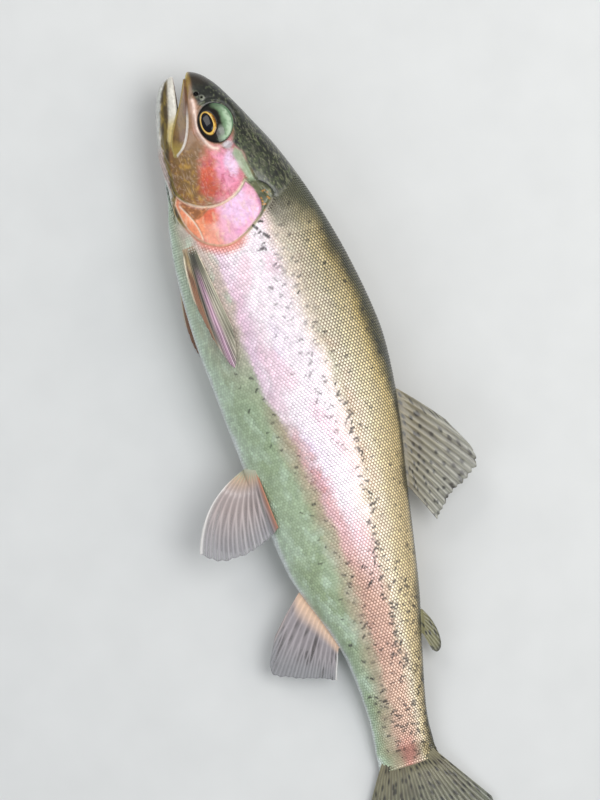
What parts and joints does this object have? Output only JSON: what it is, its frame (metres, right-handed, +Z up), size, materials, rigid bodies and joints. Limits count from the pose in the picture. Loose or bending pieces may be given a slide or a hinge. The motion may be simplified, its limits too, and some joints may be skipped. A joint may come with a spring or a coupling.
{
  "type": "rainbow trout model",
  "caption": "Life-size still model of a landed rainbow trout lying on its right flank, mouth slightly open, with spread fins and a forked tail fin.",
  "frame": {"origin": "on the floor, under the middle of the model's bounding box", "axes": "-X towards the snout, +Y towards the back, +Z up, out of the left flank"},
  "size_m": [0.5161, 0.1834, 0.0603],
  "materials": {
    "scaled_skin": "wet scaled skin: golden olive back, pearly pink flank band, pale green-silver belly, black spots",
    "head_skin": "smooth wet skin: dark olive crown, brown-gold and red cheek",
    "gill_cover_skin": "smooth wet skin: magenta pink above, orange red below, pale rims",
    "jaw_skin": "smooth wet skin: golden brown with white lips",
    "mouth_lining": "wet, pale pink-white",
    "eye": "clear wet cornea over a black pupil, a narrow gold iris and a pale green white of the eye",
    "fin_membrane": "thin rayed membrane, grey-brown to salmon, spotted on the back and tail fins"
  },
  "bodies": {
    "root": {"head": "head_skin", "lower_jaw": "jaw_skin", "maxilla_left": "jaw_skin", "maxilla_right": "jaw_skin", "tongue": "mouth_lining", "eye_left": "eye", "eye_right": "eye", "gill_cover_left": "gill_cover_skin", "gill_cover_right": "gill_cover_skin", "trunk_front": "scaled_skin", "trunk_rear": "scaled_skin", "tail": "scaled_skin", "dorsal_fin": "fin_membrane", "adipose_fin": "fin_membrane", "anal_fin": "fin_membrane", "caudal_fin": "fin_membrane", "pectoral_fin_left": "fin_membrane", "pectoral_fin_right": "fin_membrane", "pelvic_fin_left": "fin_membrane", "pelvic_fin_right": "fin_membrane"}
  },
  "joints": []
}
